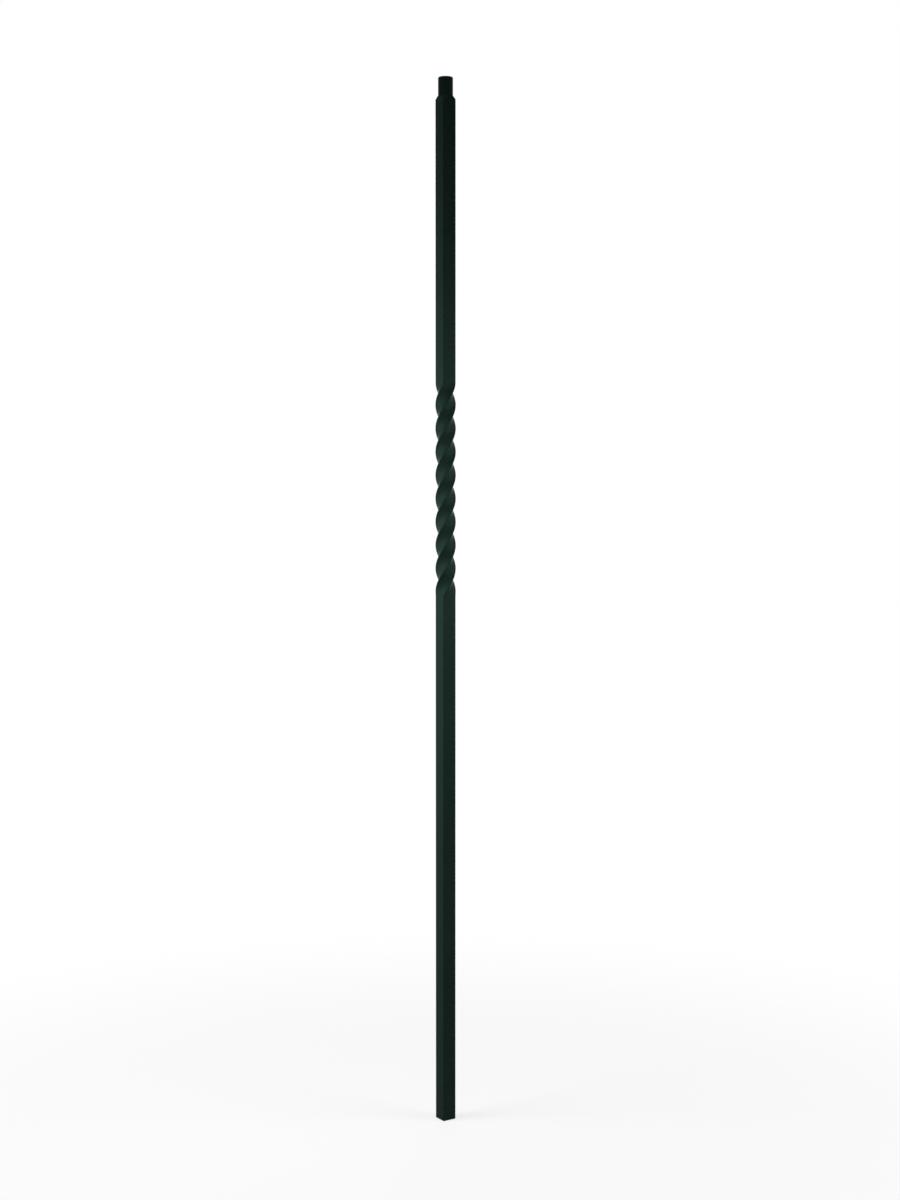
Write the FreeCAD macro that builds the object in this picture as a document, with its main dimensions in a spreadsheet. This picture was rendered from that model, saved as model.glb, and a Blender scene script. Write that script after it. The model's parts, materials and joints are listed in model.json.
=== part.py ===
import FreeCAD, Part
import math
import os

import Sketcher

# Iron stair baluster: one square steel bar with a twist wrung into it and a round dowel
# turned on its top end. Millimetres, +Z up, the axis of the bar on Z and its foot on the
# XY plane. Angles are in degrees unless a comment says otherwise.

SIZES = {
    "overall_length": "1117.6",   # foot to the tip of the dowel
    "bar_side": "15.875",         # across the flats of the square bar
    "edge_radius": "1.0",         # rolled edges of the bar
    "lower_length": "570.0",      # plain bar from the foot to the twist
    "twist_length": "230.0",      # from the first to the last of the twist
    "quarter_turns": "9",         # that the top of the twist is turned against its foot
    "twist_ease": "6.5",          # over which the twist sets in, and dies out, at its ends
    "dowel_diameter": "15.7",     # goes into a 5/8 inch hole
    "dowel_length": "19.05",      # from the shoulder to the tip
    "dowel_chamfer": "0.8",
    "shoulder_angle": "34.0",     # of the turned cone, from the axis
    "foot_chamfer": "0.5",        # deburred edge of the sawn foot
}

CUT_CLEARANCE = 2.0               # how far the turning cut runs out past the tip
VOLUME_TOLERANCE = 1e-5           # share of the volume of the bar

# Heights along the bar.
TWIST_FOOT = "sizes.lower_length"
STEADY_FOOT = "sizes.lower_length + sizes.twist_ease"
STEADY_TOP = "sizes.lower_length + sizes.twist_length - sizes.twist_ease"
TWIST_TOP = "sizes.lower_length + sizes.twist_length"
UPPER_LENGTH = "sizes.overall_length - sizes.lower_length - sizes.twist_length"
SHOULDER_HEIGHT = "sizes.overall_length - sizes.dowel_length"

# Turn of the section: at the top of the twist, for each millimetre of its steady run,
# and over the ease at either end.
FULL_TURN = "90 * sizes.quarter_turns"
STEADY_RATE = f"{FULL_TURN} / (sizes.twist_length - sizes.twist_ease)"
EASE_TURN = f"{STEADY_RATE} * sizes.twist_ease / 2"

# Profile of the turned end. The slope of the shoulder runs on past the corners of the bar,
# and the slope of the chamfer past the tip, so that the cut comes out clear of the metal.
DOWEL_RADIUS = "sizes.dowel_diameter / 2"
PLAIN_DOWEL = "sizes.dowel_length - sizes.dowel_chamfer"
CHAMFER_RUN = f"sizes.dowel_chamfer + {CUT_CLEARANCE}"
SLOPE_OUT = "sizes.bar_side"
SLOPE_DOWN = "sizes.bar_side / tan(sizes.shoulder_angle)"


def make_sheet(doc):
    """Put the driving dimensions in a spreadsheet, one alias to a cell."""
    sheet = doc.addObject("Spreadsheet::Sheet", "sizes")
    for row, (alias, value) in enumerate(SIZES.items(), start=1):
        sheet.set(f"A{row}", alias)
        sheet.set(f"B{row}", value)
        sheet.setAlias(f"B{row}", alias)
    doc.recompute()
    return sheet


def worth(item, expression):
    """The number that an expression over the sizes comes to."""
    return float(item.evalExpression(expression))


def add_sketch(body, name, role):
    """A new sketch on one of the body's own origin planes."""
    sketch = body.newObject("Sketcher::SketchObject", name)
    plane = next(item for item in body.Origin.OriginFeatures if item.Role == role)
    sketch.AttachmentSupport = [(plane, "")]
    sketch.MapMode = "FlatFace"
    return sketch


def constrain(sketch, kind, *where):
    return sketch.addConstraint(Sketcher.Constraint(kind, *where))


def dimension(sketch, name, expression, kind, *where):
    """Add a named dimension to a sketch and bind it to the sheet."""
    index = constrain(sketch, kind, *where, worth(sketch, expression))
    sketch.renameConstraint(index, name)
    sketch.setExpression(f"Constraints.{name}", expression)


def add_section(body, name, height, turn):
    """Sketch the rounded square of the bar at a height, turned about the axis."""
    sketch = add_sketch(body, name, "XY_Plane")
    sketch.setExpression("AttachmentOffset.Base.z", height)
    sketch.setExpression("AttachmentOffset.Rotation.Angle", turn)

    # The outline runs anticlockwise from the -Y side: a flat, then the edge that follows it.
    edge_radius = worth(sketch, "sizes.edge_radius")
    half_side = worth(sketch, "sizes.bar_side / 2")
    half_flat = half_side - edge_radius
    upright = FreeCAD.Vector(0, 0, 1)
    for side in range(4):
        turned = FreeCAD.Rotation(upright, 90 * side)
        start = turned.multVec(FreeCAD.Vector(-half_flat, -half_side, 0))
        end = turned.multVec(FreeCAD.Vector(half_flat, -half_side, 0))
        sketch.addGeometry(Part.LineSegment(start, end))
        centre = turned.multVec(FreeCAD.Vector(half_flat, -half_flat, 0))
        circle = Part.Circle(centre, upright, edge_radius)
        first = math.radians(90 * (side - 1))
        sketch.addGeometry(Part.ArcOfCircle(circle, first, first + math.pi / 2))

    # Points of a piece of the outline, as a sketch counts them: 1 start, 2 end, 3 centre.
    front, front_edge, right, right_edge, back, back_edge, left, left_edge = range(8)
    for piece in range(8):
        constrain(sketch, "Tangent", piece, 2, (piece + 1) % 8, 1)
    for flat in (front, back):
        constrain(sketch, "Horizontal", flat)
    for flat in (right, left):
        constrain(sketch, "Vertical", flat)
    for edge in (right_edge, back_edge, left_edge):
        constrain(sketch, "Equal", front_edge, edge)
    constrain(sketch, "Symmetric", front_edge, 3, back_edge, 3, -1, 1)
    dimension(sketch, "width", "sizes.bar_side", "DistanceX", left, 1, right, 1)
    dimension(sketch, "depth", "sizes.bar_side", "DistanceY", front, 1, back, 1)
    dimension(sketch, "edge", "sizes.edge_radius", "Radius", front_edge)
    return sketch


def add_straight_bar(body, name, foot, turn, length):
    """A plain run of the bar."""
    pad = body.newObject("PartDesign::Pad", name)
    pad.Profile = add_section(body, f"{name}_section", foot, turn)
    pad.setExpression("Length", length)


def add_twisted_bar(doc, body, name, foot, top, turn, guide):
    """A run of the bar whose section turns to keep facing a guide curve."""
    axis = doc.addObject("Part::Line", f"{name}_axis")
    axis.X2 = 0
    axis.Y2 = 0
    axis.setExpression("Z1", foot)
    axis.setExpression("Z2", top)
    pipe = body.newObject("PartDesign::AdditivePipe", name)
    pipe.Profile = add_section(body, f"{name}_section", foot, turn)
    pipe.Spine = (axis, ["Edge1"])
    pipe.AuxiliarySpine = (guide, ["Edge1"])
    pipe.AuxiliaryCurvilinear = False
    pipe.Mode = "Auxiliary"


def add_steady_guide(doc):
    """The helix that the section faces along the steady run of the twist."""
    helix = doc.addObject("Part::Helix", "steady_guide")
    helix.setExpression("Radius", "sizes.bar_side")
    helix.setExpression("Pitch", f"360 / ({STEADY_RATE})")
    helix.setExpression("Height", "sizes.twist_length - 2 * sizes.twist_ease")
    helix.setExpression("Placement.Base.z", STEADY_FOOT)
    helix.setExpression("Placement.Rotation.Angle", EASE_TURN)
    return helix


def add_ease_guide(doc, sheet, name, foot, turn_at, rate_at):
    """A curve that the section faces while its rate of turn grows or dies out.

    turn_at and rate_at give the turn and its rate, in radians, at a height above the foot.
    """
    radius = sheet.bar_side
    ease = sheet.twist_ease

    def point(height):
        turn = turn_at(height)
        return FreeCAD.Vector(radius * math.cos(turn), radius * math.sin(turn), foot + height)

    def slope(height):
        turn = turn_at(height)
        sweep = radius * rate_at(height)
        return FreeCAD.Vector(-sweep * math.sin(turn), sweep * math.cos(turn), 1)

    # A cubic that has the right place and slope at both ends and climbs evenly between them.
    curve = Part.BezierCurve()
    curve.setPoles([
        point(0),
        point(0) + slope(0) * (ease / 3),
        point(ease) - slope(ease) * (ease / 3),
        point(ease),
    ])
    guide = doc.addObject("Part::Feature", name)
    guide.Shape = curve.toShape()
    return guide


def add_twist(doc, body, sheet):
    """The twist: its rate of turn grows over a short ease, holds steady, and dies out again."""
    ease = sheet.twist_ease
    full_turn = math.radians(worth(sheet, FULL_TURN))
    rate = math.radians(worth(sheet, STEADY_RATE))
    growing = add_ease_guide(
        doc, sheet, "growing_guide", worth(sheet, TWIST_FOOT),
        turn_at=lambda height: rate * height ** 2 / (2 * ease),
        rate_at=lambda height: rate * height / ease,
    )
    steady = add_steady_guide(doc)
    dying = add_ease_guide(
        doc, sheet, "dying_guide", worth(sheet, STEADY_TOP),
        turn_at=lambda height: full_turn - rate * (ease - height) ** 2 / (2 * ease),
        rate_at=lambda height: rate * (ease - height) / ease,
    )
    runs = [
        ("twist_growing", TWIST_FOOT, STEADY_FOOT, "0", growing),
        ("twist_steady", STEADY_FOOT, STEADY_TOP, EASE_TURN, steady),
        ("twist_dying", STEADY_TOP, TWIST_TOP, f"{FULL_TURN} - {EASE_TURN}", dying),
    ]
    for name, foot, top, turn, guide in runs:
        add_twisted_bar(doc, body, name, foot, top, turn, guide)
        doc.recompute()


def turn_dowel(body, sheet):
    """Turn the top of the bar to a chamfered dowel on a sloped shoulder."""
    sketch = add_sketch(body, "dowel_profile", "XZ_Plane")

    # Outline of the waste: up the dowel, in over its chamfer, out past the tip, down outside
    # the bar and in along the shoulder.
    radius = worth(sheet, DOWEL_RADIUS)
    shoulder = worth(sheet, SHOULDER_HEIGHT)
    chamfer_run = worth(sheet, CHAMFER_RUN)
    outer = radius + worth(sheet, SLOPE_OUT)
    chamfer_foot = shoulder + worth(sheet, PLAIN_DOWEL)
    outline = [
        FreeCAD.Vector(radius, shoulder, 0),
        FreeCAD.Vector(radius, chamfer_foot, 0),
        FreeCAD.Vector(radius - chamfer_run, chamfer_foot + chamfer_run, 0),
        FreeCAD.Vector(outer, chamfer_foot + chamfer_run, 0),
        FreeCAD.Vector(outer, shoulder - worth(sheet, SLOPE_DOWN), 0),
    ]
    for index, start in enumerate(outline):
        sketch.addGeometry(Part.LineSegment(start, outline[(index + 1) % len(outline)]))

    dowel, chamfer, above, outside, slope = range(len(outline))
    for line in range(len(outline)):
        constrain(sketch, "Coincident", line, 2, (line + 1) % len(outline), 1)
    constrain(sketch, "Vertical", dowel)
    constrain(sketch, "Horizontal", above)
    constrain(sketch, "Vertical", outside)
    dimension(sketch, "dowel_radius", DOWEL_RADIUS, "DistanceX", -1, 1, dowel, 1)
    dimension(sketch, "shoulder_height", SHOULDER_HEIGHT, "DistanceY", -1, 1, dowel, 1)
    dimension(sketch, "plain_dowel", PLAIN_DOWEL, "DistanceY", dowel, 1, dowel, 2)
    dimension(sketch, "chamfer_in", CHAMFER_RUN, "DistanceX", chamfer, 2, chamfer, 1)
    dimension(sketch, "chamfer_up", CHAMFER_RUN, "DistanceY", chamfer, 1, chamfer, 2)
    dimension(sketch, "slope_out", SLOPE_OUT, "DistanceX", slope, 2, slope, 1)
    dimension(sketch, "slope_down", SLOPE_DOWN, "DistanceY", slope, 1, slope, 2)

    groove = body.newObject("PartDesign::Groove", "dowel")
    groove.Profile = sketch
    groove.ReferenceAxis = (sketch, ["V_Axis"])
    groove.Angle = 360


def deburr_foot(body):
    """Break the sawn edge round the foot."""
    turned = body.Tip
    faces = turned.Shape.Faces
    foot = min(range(len(faces)), key=lambda index: faces[index].CenterOfMass.z)
    chamfer = body.newObject("PartDesign::Chamfer", "foot")
    chamfer.Base = (turned, [f"Face{foot + 1}"])
    chamfer.setExpression("Size", "sizes.foot_chamfer")


def build_baluster(doc, sheet):
    """The whole baluster, in the order in which the bar is worked."""
    body = doc.addObject("PartDesign::Body", "baluster")
    body.Label = "baluster"
    add_straight_bar(body, "lower_bar", "0", "0", "sizes.lower_length")
    doc.recompute()
    add_twist(doc, body, sheet)
    add_straight_bar(body, "upper_bar", TWIST_TOP, FULL_TURN, UPPER_LENGTH)
    doc.recompute()

    # Twisting leaves every section as large as it was, so the blank holds section times length.
    blank = body.Shape.Volume
    section = sheet.bar_side ** 2 - (4 - math.pi) * sheet.edge_radius ** 2
    expected = section * sheet.overall_length
    if abs(blank - expected) > VOLUME_TOLERANCE * expected:
        raise RuntimeError(f"the bar holds {blank:.1f} mm3, not {expected:.1f} mm3")

    turn_dowel(body, sheet)
    doc.recompute()
    turned = body.Shape.Volume
    deburr_foot(body)
    doc.recompute()
    if not body.Shape.Volume < turned < blank:
        raise RuntimeError("the dowel or the foot was not cut")
    return body


def check(doc, bodies):
    """Stop on any failed feature or unsound solid."""
    for item in doc.Objects:
        if {"Invalid", "Error"} & set(item.State):
            raise RuntimeError(f"{item.Name} failed: {item.State}")
    for body in bodies:
        if body.Shape.isNull() or not body.Shape.isValid() or len(body.Shape.Solids) != 1:
            raise RuntimeError(f"{body.Label} is not one sound solid")


def main():
    doc = FreeCAD.newDocument("iron_stair_baluster")
    sheet = make_sheet(doc)
    bodies = [build_baluster(doc, sheet)]
    check(doc, bodies)
    os.makedirs("parts", exist_ok=True)
    for body in bodies:
        body.Shape.exportStep(f"parts/{body.Label}.step")


main()
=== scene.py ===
"""Looks of an iron stair baluster: its coated bar, a studio and a camera. Lengths are in metres."""
import json
import math

import bpy
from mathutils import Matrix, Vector


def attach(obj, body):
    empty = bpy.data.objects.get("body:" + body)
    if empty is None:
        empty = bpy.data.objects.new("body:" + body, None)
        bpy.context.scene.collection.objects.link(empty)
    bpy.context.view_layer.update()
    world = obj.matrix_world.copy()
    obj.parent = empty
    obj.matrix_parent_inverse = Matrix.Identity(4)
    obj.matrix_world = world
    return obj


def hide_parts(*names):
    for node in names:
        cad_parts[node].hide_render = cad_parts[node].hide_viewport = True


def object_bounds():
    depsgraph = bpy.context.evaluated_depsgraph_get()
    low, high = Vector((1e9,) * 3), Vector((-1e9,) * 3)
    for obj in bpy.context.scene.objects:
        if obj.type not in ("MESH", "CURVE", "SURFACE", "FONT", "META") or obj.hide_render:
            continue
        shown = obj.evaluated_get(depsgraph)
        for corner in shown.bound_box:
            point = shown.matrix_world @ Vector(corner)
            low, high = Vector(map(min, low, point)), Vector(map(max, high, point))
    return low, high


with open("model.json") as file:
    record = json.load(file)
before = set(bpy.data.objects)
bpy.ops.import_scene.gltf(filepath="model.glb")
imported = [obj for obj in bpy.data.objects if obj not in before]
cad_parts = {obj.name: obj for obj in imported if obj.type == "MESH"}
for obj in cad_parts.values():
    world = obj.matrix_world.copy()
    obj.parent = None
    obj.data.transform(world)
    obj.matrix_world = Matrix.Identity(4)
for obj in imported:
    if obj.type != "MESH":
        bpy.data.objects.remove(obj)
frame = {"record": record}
cad_low, cad_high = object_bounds()
dowel_mount = next(mount for mount in frame["record"]["mounts"] if mount["name"] == "top_dowel")

MM = 0.001

# The bar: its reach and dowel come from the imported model, the rest repeats the part's own sizes.
LENGTH = cad_high.z
EDGE_RADIUS = 1.0 * MM
HALF_SIDE = (cad_high.x - EDGE_RADIUS) / math.sqrt(2) + EDGE_RADIUS
LOWER_LENGTH = 570 * MM
TWIST_LENGTH = 230 * MM
QUARTER_TURNS = 9
TWIST_TURN = math.radians(QUARTER_TURNS * 90)
TWIST_EASE = 6.5 * MM
SHOULDER_SLOPE = math.tan(math.radians(34))
DOWEL_RADIUS = dowel_mount["dims"]["r_mm"] * MM
DOWEL_FOOT = dowel_mount["pos_m"][2] - dowel_mount["dims"]["length_mm"] / 2 * MM
DOWEL_RIM = dowel_mount["pos_m"][2] + dowel_mount["dims"]["length_mm"] / 2 * MM
DOWEL_CHAMFER = LENGTH - DOWEL_RIM
FOOT_CHAMFER = 0.5 * MM

# The bar's mesh: steps round an edge, across a flat and along the bar, and the ring at each end
# that the end's fan of triangles starts from.
ARC_STEPS = 8
FLAT_STEPS = 14
STRAIGHT_STEP = 15 * MM
TWIST_STEP = 0.8 * MM
FOOT_FAN_INSET = 0.9 * EDGE_RADIUS
FOOT_TOP = 3 * FOOT_CHAMFER
DOWEL_FAN_SHARE = 0.5

# How the coat rounds the edges that were cut sharp: its reach, the most of a side that it may take,
# and its steps.
SOFT_REACH = 0.3 * MM
SOFT_SHARE = 0.45
SOFT_STEPS = 4

# The flat layout for baked maps: strips side by side, and the margin round each.
BAKE_STRIPS = 4
BAKE_MARGIN = 0.04

# The coat: the tones and the roughness that it drifts between, its reflection and its orange peel.
# The reflection is held low, because the white studio would lift the coat's dark tones.
COAT_DARK = (0.0074, 0.0175, 0.0141, 1)
COAT_LIGHT = (0.0115, 0.0255, 0.0204, 1)
COAT_SMOOTHEST = 0.4
COAT_ROUGHEST = 0.58
COAT_REFLECTION = 0.025
COAT_REFLECTION_TINT = (0.60, 1.0, 0.84, 1)
CLOUD_SCALE = 45.0
CLOUD_DETAIL = 3.0
PEEL_SCALE = 520.0
PEEL_DETAIL = 2.0
PEEL_STRENGTH = 0.7
PEEL_DEPTH = 0.3 * MM

# The cove: a floor that sweeps up into a low wall, and its paint. A plain white glow is all that is
# seen of it from some way off, and near the bar only a share, so that the bar's shadow shows; the
# thinner glow there also paints a faint grey pool of shade round the bar's foot.
FLOOR_RADIUS = 3.2
COVE_SWEEP = 0.8
COVE_TOP = 2.8
COVE_SIDES = 96
COVE_STEPS = 12
COVE_PAINT = (0.9, 0.9, 0.9, 1)
# The lower glow share at the foot paints a faint grey pool of shade round it, fading out by the
# full-glow radius.
GLOW_SHARE_AT_FOOT = 0.75
FULL_GLOW_RADIUS = 0.9

# The room's own light.
ROOM_COLOUR = (1, 1, 1, 1)
ROOM_LIGHT = 0.11

# The camera, placed by its turn round the bar, and the point that it aims at.
CAMERA_TURN = math.radians(56.5)
CAMERA_DISTANCE = 2.03
CAMERA_HEIGHT = 0.715
AIM_HEIGHT = 0.5673
AIM_RIGHT = 0.0047
LENS_MM = 57.03


def turn_at(height):
    """How far the section has turned at a height: a steady twist with an ease at each end."""
    climbed = min(max(height - LOWER_LENGTH, 0.0), TWIST_LENGTH)
    left = TWIST_LENGTH - climbed
    rate = TWIST_TURN / (TWIST_LENGTH - TWIST_EASE)
    if climbed < TWIST_EASE:
        return rate * climbed ** 2 / (2 * TWIST_EASE)
    if left < TWIST_EASE:
        return TWIST_TURN - rate * left ** 2 / (2 * TWIST_EASE)
    return rate * (climbed - TWIST_EASE / 2)


def section_points():
    """Points round the bar's section.

    Each is a point of the square that is left inside the edge radius, with an outward angle.
    """
    core = HALF_SIDE - EDGE_RADIUS
    quarter = math.pi / 2
    points = []
    for corner in range(4):
        start = corner * quarter
        along_x, along_y = math.cos(start), math.sin(start)
        corner_point = Vector((core * (along_x - along_y), core * (along_x + along_y)))
        for step in range(ARC_STEPS + 1):
            points.append((corner_point, start + quarter * step / ARC_STEPS))
        for step in range(1, FLAT_STEPS):
            slide = core * (1 - 2 * step / FLAT_STEPS)
            flat_point = Vector((slide * along_x - core * along_y, slide * along_y + core * along_x))
            points.append((flat_point, start + quarter))
    return points


def section_ring(points, height, inset=0.0):
    """The section at a height, drawn in by an inset and turned as far as the bar is there."""
    turn = turn_at(height)
    cosine, sine = math.cos(turn), math.sin(turn)
    ring = []
    for core, outward in points:
        x = core.x + (EDGE_RADIUS - inset) * math.cos(outward)
        y = core.y + (EDGE_RADIUS - inset) * math.sin(outward)
        ring.append((x * cosine - y * sine, x * sine + y * cosine, height))
    return ring


def softened(corners):
    """A line through corners, each corner inside it rounded as far as its two sides allow."""
    line = [corners[0]]
    for before, corner, after in zip(corners, corners[1:], corners[2:]):
        shorter_side = min((corner - before).length, (after - corner).length)
        reach = min(SOFT_REACH, SOFT_SHARE * shorter_side)
        enter = corner + (before - corner).normalized() * reach
        leave = corner + (after - corner).normalized() * reach
        for step in range(SOFT_STEPS + 1):
            share = step / SOFT_STEPS
            line.append(enter.lerp(corner, share).lerp(corner.lerp(leave, share), share))
    line.append(corners[-1])
    return line


def foot_rings(points):
    """The sawn foot and its deburred edge, from insets and heights of the section."""
    line = softened([
        Vector((FOOT_FAN_INSET, 0)),
        Vector((FOOT_CHAMFER, 0)),
        Vector((0, FOOT_CHAMFER)),
        Vector((0, FOOT_TOP)),
    ])
    return [section_ring(points, height, inset) for inset, height in line]


def bar_rings(points, start, end, step):
    """The bar from one height to another, both included."""
    count = math.ceil((end - start) / step)
    heights = [start + (end - start) * index / count for index in range(count + 1)]
    return [section_ring(points, height) for height in heights]


def dowel_rings(points, start):
    """The turned shoulder and dowel: each point of the section climbs its own line to the top."""
    lines = []
    rim = DOWEL_RADIUS - DOWEL_CHAMFER
    for x, y, _ in section_ring(points, start):
        radius = math.hypot(x, y)
        crease = DOWEL_FOOT - (radius - DOWEL_RADIUS) / SHOULDER_SLOPE
        line = softened([
            Vector((radius, start)),
            Vector((radius, crease)),
            Vector((DOWEL_RADIUS, DOWEL_FOOT)),
            Vector((DOWEL_RADIUS, DOWEL_RIM)),
            Vector((rim, LENGTH)),
            Vector((DOWEL_FAN_SHARE * rim, LENGTH)),
        ])
        lines.append([(x / radius * reach, y / radius * reach, height) for reach, height in line])
    return [list(ring) for ring in zip(*lines)][1:]


def skin(name, rings):
    """A closed mesh through rings of as many points each, with a fan over each end."""
    size = len(rings[0])
    vertices = [point for ring in rings for point in ring]
    foot, head = len(vertices), len(vertices) + 1
    vertices += [(0, 0, rings[0][0][2]), (0, 0, rings[-1][0][2])]
    faces = []
    spots = []
    for column in range(size):
        following = (column + 1) % size
        faces.append((foot, following, column))
        spots += [(column + 0.5, 0), (column + 1, 1), (column, 1)]
        for row in range(len(rings) - 1):
            low, high = row * size, (row + 1) * size
            faces.append((low + column, low + following, high + following, high + column))
            spots += [(column, row + 1), (column + 1, row + 1),
                      (column + 1, row + 2), (column, row + 2)]
        top = len(rings)
        last = size * (top - 1)
        faces.append((head, last + column, last + following))
        spots += [(column + 0.5, top + 1), (column, top), (column + 1, top)]
    mesh = bpy.data.meshes.new(name)
    mesh.from_pydata(vertices, [], faces)
    mesh.validate()
    mesh.shade_smooth()
    unroll(mesh, spots, [[vertices[foot]] * size] + rings + [[vertices[head]] * size])
    made = bpy.data.objects.new(name, mesh)
    bpy.context.scene.collection.objects.link(made)
    return made


def unroll(mesh, spots, rows):
    """Lays a skin out flat for baked maps: unrolled, and cut across into strips side by side.

    spots gives the column and the row of each corner of each face, with half a column at a fan's tip,
    and rows gives the points of each row.
    """
    size = len(rows[0])
    reach = [0.0]
    for low, high in zip(rows, rows[1:]):
        reach.append(reach[-1] + sum(math.dist(start, end) for start, end in zip(low, high)) / size)
    strip_length = reach[-1] / BAKE_STRIPS
    around_bar = [0.0]
    middle_row = rows[len(rows) // 2]
    for start, end in zip(middle_row, middle_row[1:] + middle_row[:1]):
        around_bar.append(around_bar[-1] + math.dist(start, end))
    inside = 1 - 2 * BAKE_MARGIN
    places = []
    for face in mesh.polygons:
        corners = [spots[loop] for loop in face.loop_indices]
        middle = (min(reach[row] for _, row in corners) + max(reach[row] for _, row in corners)) / 2
        strip = int(middle / strip_length)
        for column, row in corners:
            left, right = around_bar[math.floor(column)], around_bar[math.ceil(column)]
            across = BAKE_MARGIN + inside * (left + right) / 2 / around_bar[-1]
            along = BAKE_MARGIN + inside * (reach[row] / strip_length - strip)
            places += [(strip + across) / BAKE_STRIPS, along]
    mesh.uv_layers.new(name="OFBake").uv.foreach_set("vector", places)


def build_bar():
    """The whole bar, from its foot to the top of its dowel."""
    points = section_points()
    twist_foot = LOWER_LENGTH
    twist_top = LOWER_LENGTH + TWIST_LENGTH
    shoulder_height = (HALF_SIDE * math.sqrt(2) - DOWEL_RADIUS) / SHOULDER_SLOPE
    shoulder = DOWEL_FOOT - shoulder_height - SOFT_REACH
    rings = foot_rings(points)
    rings += bar_rings(points, FOOT_TOP, twist_foot, STRAIGHT_STEP)[1:]
    rings += bar_rings(points, twist_foot, twist_top, TWIST_STEP)[1:]
    rings += bar_rings(points, twist_top, shoulder, STRAIGHT_STEP)[1:]
    rings += dowel_rings(points, shoulder)
    return skin("coated_bar", rings)


def new_material(name):
    """An empty node material: the material, its nodes, its links and its output node."""
    material = bpy.data.materials.new(name)
    material.use_nodes = True
    tree = material.node_tree
    tree.nodes.clear()
    return material, tree.nodes, tree.links, tree.nodes.new("ShaderNodeOutputMaterial")


def add_noise(nodes, links, place, scale, detail):
    """The value of a noise that is laid through the object's own space."""
    noise = nodes.new("ShaderNodeTexNoise")
    noise.inputs["Scale"].default_value = scale
    noise.inputs["Detail"].default_value = detail
    links.new(place.outputs["Object"], noise.inputs["Vector"])
    return noise.outputs["Fac"]


def coat_material():
    """Satin powder coat: near-black green, with a faint orange peel and a little unevenness."""
    material, nodes, links, output = new_material("powder_coat")
    place = nodes.new("ShaderNodeTexCoord")
    cloud = add_noise(nodes, links, place, CLOUD_SCALE, CLOUD_DETAIL)
    peel = add_noise(nodes, links, place, PEEL_SCALE, PEEL_DETAIL)

    tone = nodes.new("ShaderNodeMix")
    tone.data_type = "RGBA"
    tone.inputs["A"].default_value = COAT_DARK
    tone.inputs["B"].default_value = COAT_LIGHT
    links.new(cloud, tone.inputs["Factor"])

    sheen = nodes.new("ShaderNodeMapRange")
    sheen.inputs["To Min"].default_value = COAT_SMOOTHEST
    sheen.inputs["To Max"].default_value = COAT_ROUGHEST
    links.new(cloud, sheen.inputs["Value"])

    bump = nodes.new("ShaderNodeBump")
    bump.inputs["Strength"].default_value = PEEL_STRENGTH
    bump.inputs["Distance"].default_value = PEEL_DEPTH
    links.new(peel, bump.inputs["Height"])

    shader = nodes.new("ShaderNodeBsdfPrincipled")
    shader.inputs["Specular IOR Level"].default_value = COAT_REFLECTION
    shader.inputs["Specular Tint"].default_value = COAT_REFLECTION_TINT
    links.new(tone.outputs["Result"], shader.inputs["Base Color"])
    links.new(sheen.outputs["Result"], shader.inputs["Roughness"])
    links.new(bump.outputs["Normal"], shader.inputs["Normal"])
    links.new(shader.outputs["BSDF"], output.inputs["Surface"])
    return material


def seen_share(nodes, links):
    """1 for rays from the camera and for reflected and refracted ones, 0 for scattered light."""
    rays = nodes.new("ShaderNodeLightPath")
    seen = rays.outputs["Is Camera Ray"]
    for kind in ("Is Glossy Ray", "Is Transmission Ray"):
        either = nodes.new("ShaderNodeMath")
        either.operation = "MAXIMUM"
        links.new(seen, either.inputs[0])
        links.new(rays.outputs[kind], either.inputs[1])
        seen = either.outputs["Value"]
    return seen


def glow_share(nodes, links):
    """The share of plain white, by the distance from the bar's axis: lower near the foot, which
    paints a faint grey pool of shade there.
    """
    place = nodes.new("ShaderNodeNewGeometry")
    flat = nodes.new("ShaderNodeVectorMath")
    flat.operation = "MULTIPLY"
    flat.inputs[1].default_value = (1, 1, 0)
    links.new(place.outputs["Position"], flat.inputs[0])
    reach = nodes.new("ShaderNodeVectorMath")
    reach.operation = "LENGTH"
    links.new(flat.outputs["Vector"], reach.inputs[0])
    # Less glow near the bar: a painted faint pool of shade round its foot.
    fade = nodes.new("ShaderNodeMapRange")
    fade.interpolation_type = "SMOOTHSTEP"
    fade.inputs["From Max"].default_value = FULL_GLOW_RADIUS
    fade.inputs["To Min"].default_value = GLOW_SHARE_AT_FOOT
    links.new(reach.outputs["Value"], fade.inputs["Value"])
    return fade.outputs["Result"]


def cove_material():
    """White studio paint: seen as mostly plain white, with the bar's shadow kept and a painted faint
    pool of shade round its foot.
    """
    material, nodes, links, output = new_material("studio_white")
    paint = nodes.new("ShaderNodeBsdfDiffuse")
    paint.inputs["Color"].default_value = COVE_PAINT
    glow = nodes.new("ShaderNodeEmission")
    share = nodes.new("ShaderNodeMath")
    share.operation = "MULTIPLY"
    links.new(seen_share(nodes, links), share.inputs[0])
    links.new(glow_share(nodes, links), share.inputs[1])
    mix = nodes.new("ShaderNodeMixShader")
    links.new(share.outputs["Value"], mix.inputs["Fac"])
    links.new(paint.outputs["BSDF"], mix.inputs[1])
    links.new(glow.outputs["Emission"], mix.inputs[2])
    links.new(mix.outputs["Shader"], output.inputs["Surface"])
    return material


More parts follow.
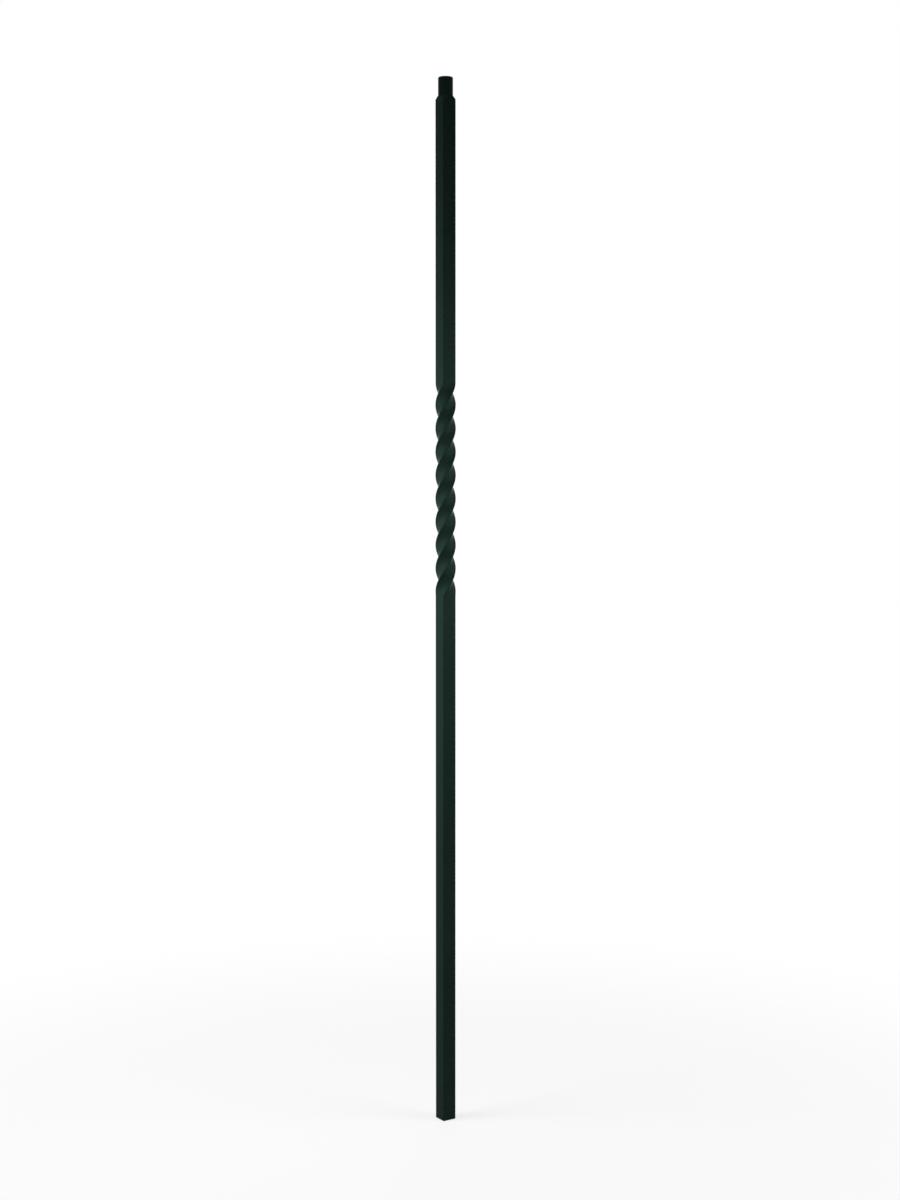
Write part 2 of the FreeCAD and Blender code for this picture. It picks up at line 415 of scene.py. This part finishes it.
def build_cove():
    """The round studio cove, from the middle of its floor to the top of its wall."""
    profile = []
    for step in range(COVE_STEPS + 1):
        turn = math.pi / 2 * step / COVE_STEPS
        radius = FLOOR_RADIUS + COVE_SWEEP * math.sin(turn)
        height = COVE_SWEEP - COVE_SWEEP * math.cos(turn)
        profile.append((radius, height))
    profile.append((FLOOR_RADIUS + COVE_SWEEP, COVE_TOP))
    vertices = [(0, 0, 0)]
    for radius, height in profile:
        for side in range(COVE_SIDES):
            angle = math.tau * side / COVE_SIDES
            vertices.append((radius * math.cos(angle), radius * math.sin(angle), height))
    faces = [(0, 1 + side, 1 + (side + 1) % COVE_SIDES) for side in range(COVE_SIDES)]
    for ring in range(len(profile) - 1):
        low = 1 + ring * COVE_SIDES
        high = low + COVE_SIDES
        for side in range(COVE_SIDES):
            following = (side + 1) % COVE_SIDES
            faces.append((low + side, high + side, high + following, low + following))
    mesh = bpy.data.meshes.new("cove")
    mesh.from_pydata(vertices, [], faces)
    mesh.shade_smooth()
    mesh.materials.append(cove_material())
    cove = bpy.data.objects.new("cove", mesh)
    bpy.context.scene.collection.objects.link(cove)


def around(turn, distance, height):
    """A place by its turn round the bar, its distance from the axis and its height."""
    return Vector((distance * math.sin(turn), -distance * math.cos(turn), height))


def aim(thing, target):
    """Turns a lamp or the camera to face a point."""
    thing.rotation_euler = (target - thing.location).to_track_quat("-Z", "Y").to_euler()


def add_softbox(name, degrees, distance, height, aim_height, size, watts):
    """A rectangular lamp, placed by its turn from the camera, that faces a height on the bar."""
    data = bpy.data.lights.new(name, "AREA")
    data.shape = "RECTANGLE"
    data.size, data.size_y = size
    data.energy = watts
    lamp = bpy.data.objects.new(name, data)
    bpy.context.scene.collection.objects.link(lamp)
    lamp.location = around(CAMERA_TURN + math.radians(degrees), distance, height)
    lamp.visible_camera = False
    aim(lamp, Vector((0, 0, aim_height)))


def light_studio():
    """A dim room, a tilted softbox on each side of the bar, a large one behind and one overhead."""
    world = bpy.data.worlds.new("room")
    world.use_nodes = True
    background = world.node_tree.nodes["Background"]
    background.inputs["Color"].default_value = ROOM_COLOUR
    background.inputs["Strength"].default_value = ROOM_LIGHT
    bpy.context.scene.world = world
    for name, degrees, watts in (("left_softbox", -72, 3.7), ("right_softbox", 72, 2.3)):
        add_softbox(name, degrees, distance=0.45, height=0.68, aim_height=0.38,
                    size=(0.3, 0.35), watts=watts)
    add_softbox("back_softbox", degrees=180, distance=1.2, height=0.55, aim_height=0.55,
                size=(0.8, 1.0), watts=4.0)
    add_softbox("top_softbox", degrees=0, distance=0.0, height=1.5, aim_height=1.1,
                size=(0.25, 0.25), watts=0.9)


def set_camera():
    """The camera at the photo's viewing angle, aimed a little to the right of the bar."""
    data = bpy.data.cameras.new("camera")
    data.lens = LENS_MM
    camera = bpy.data.objects.new("camera", data)
    bpy.context.scene.collection.objects.link(camera)
    camera.location = around(CAMERA_TURN, CAMERA_DISTANCE, CAMERA_HEIGHT)
    right = Vector((math.cos(CAMERA_TURN), math.sin(CAMERA_TURN), 0))
    aim(camera, AIM_RIGHT * right + Vector((0, 0, AIM_HEIGHT)))
    bpy.context.scene.camera = camera


bar = build_bar()
bar.data.materials.append(coat_material())
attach(bar, "root")
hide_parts("baluster")
build_cove()
light_studio()
set_camera()
bpy.context.scene.view_settings.view_transform = "Standard"
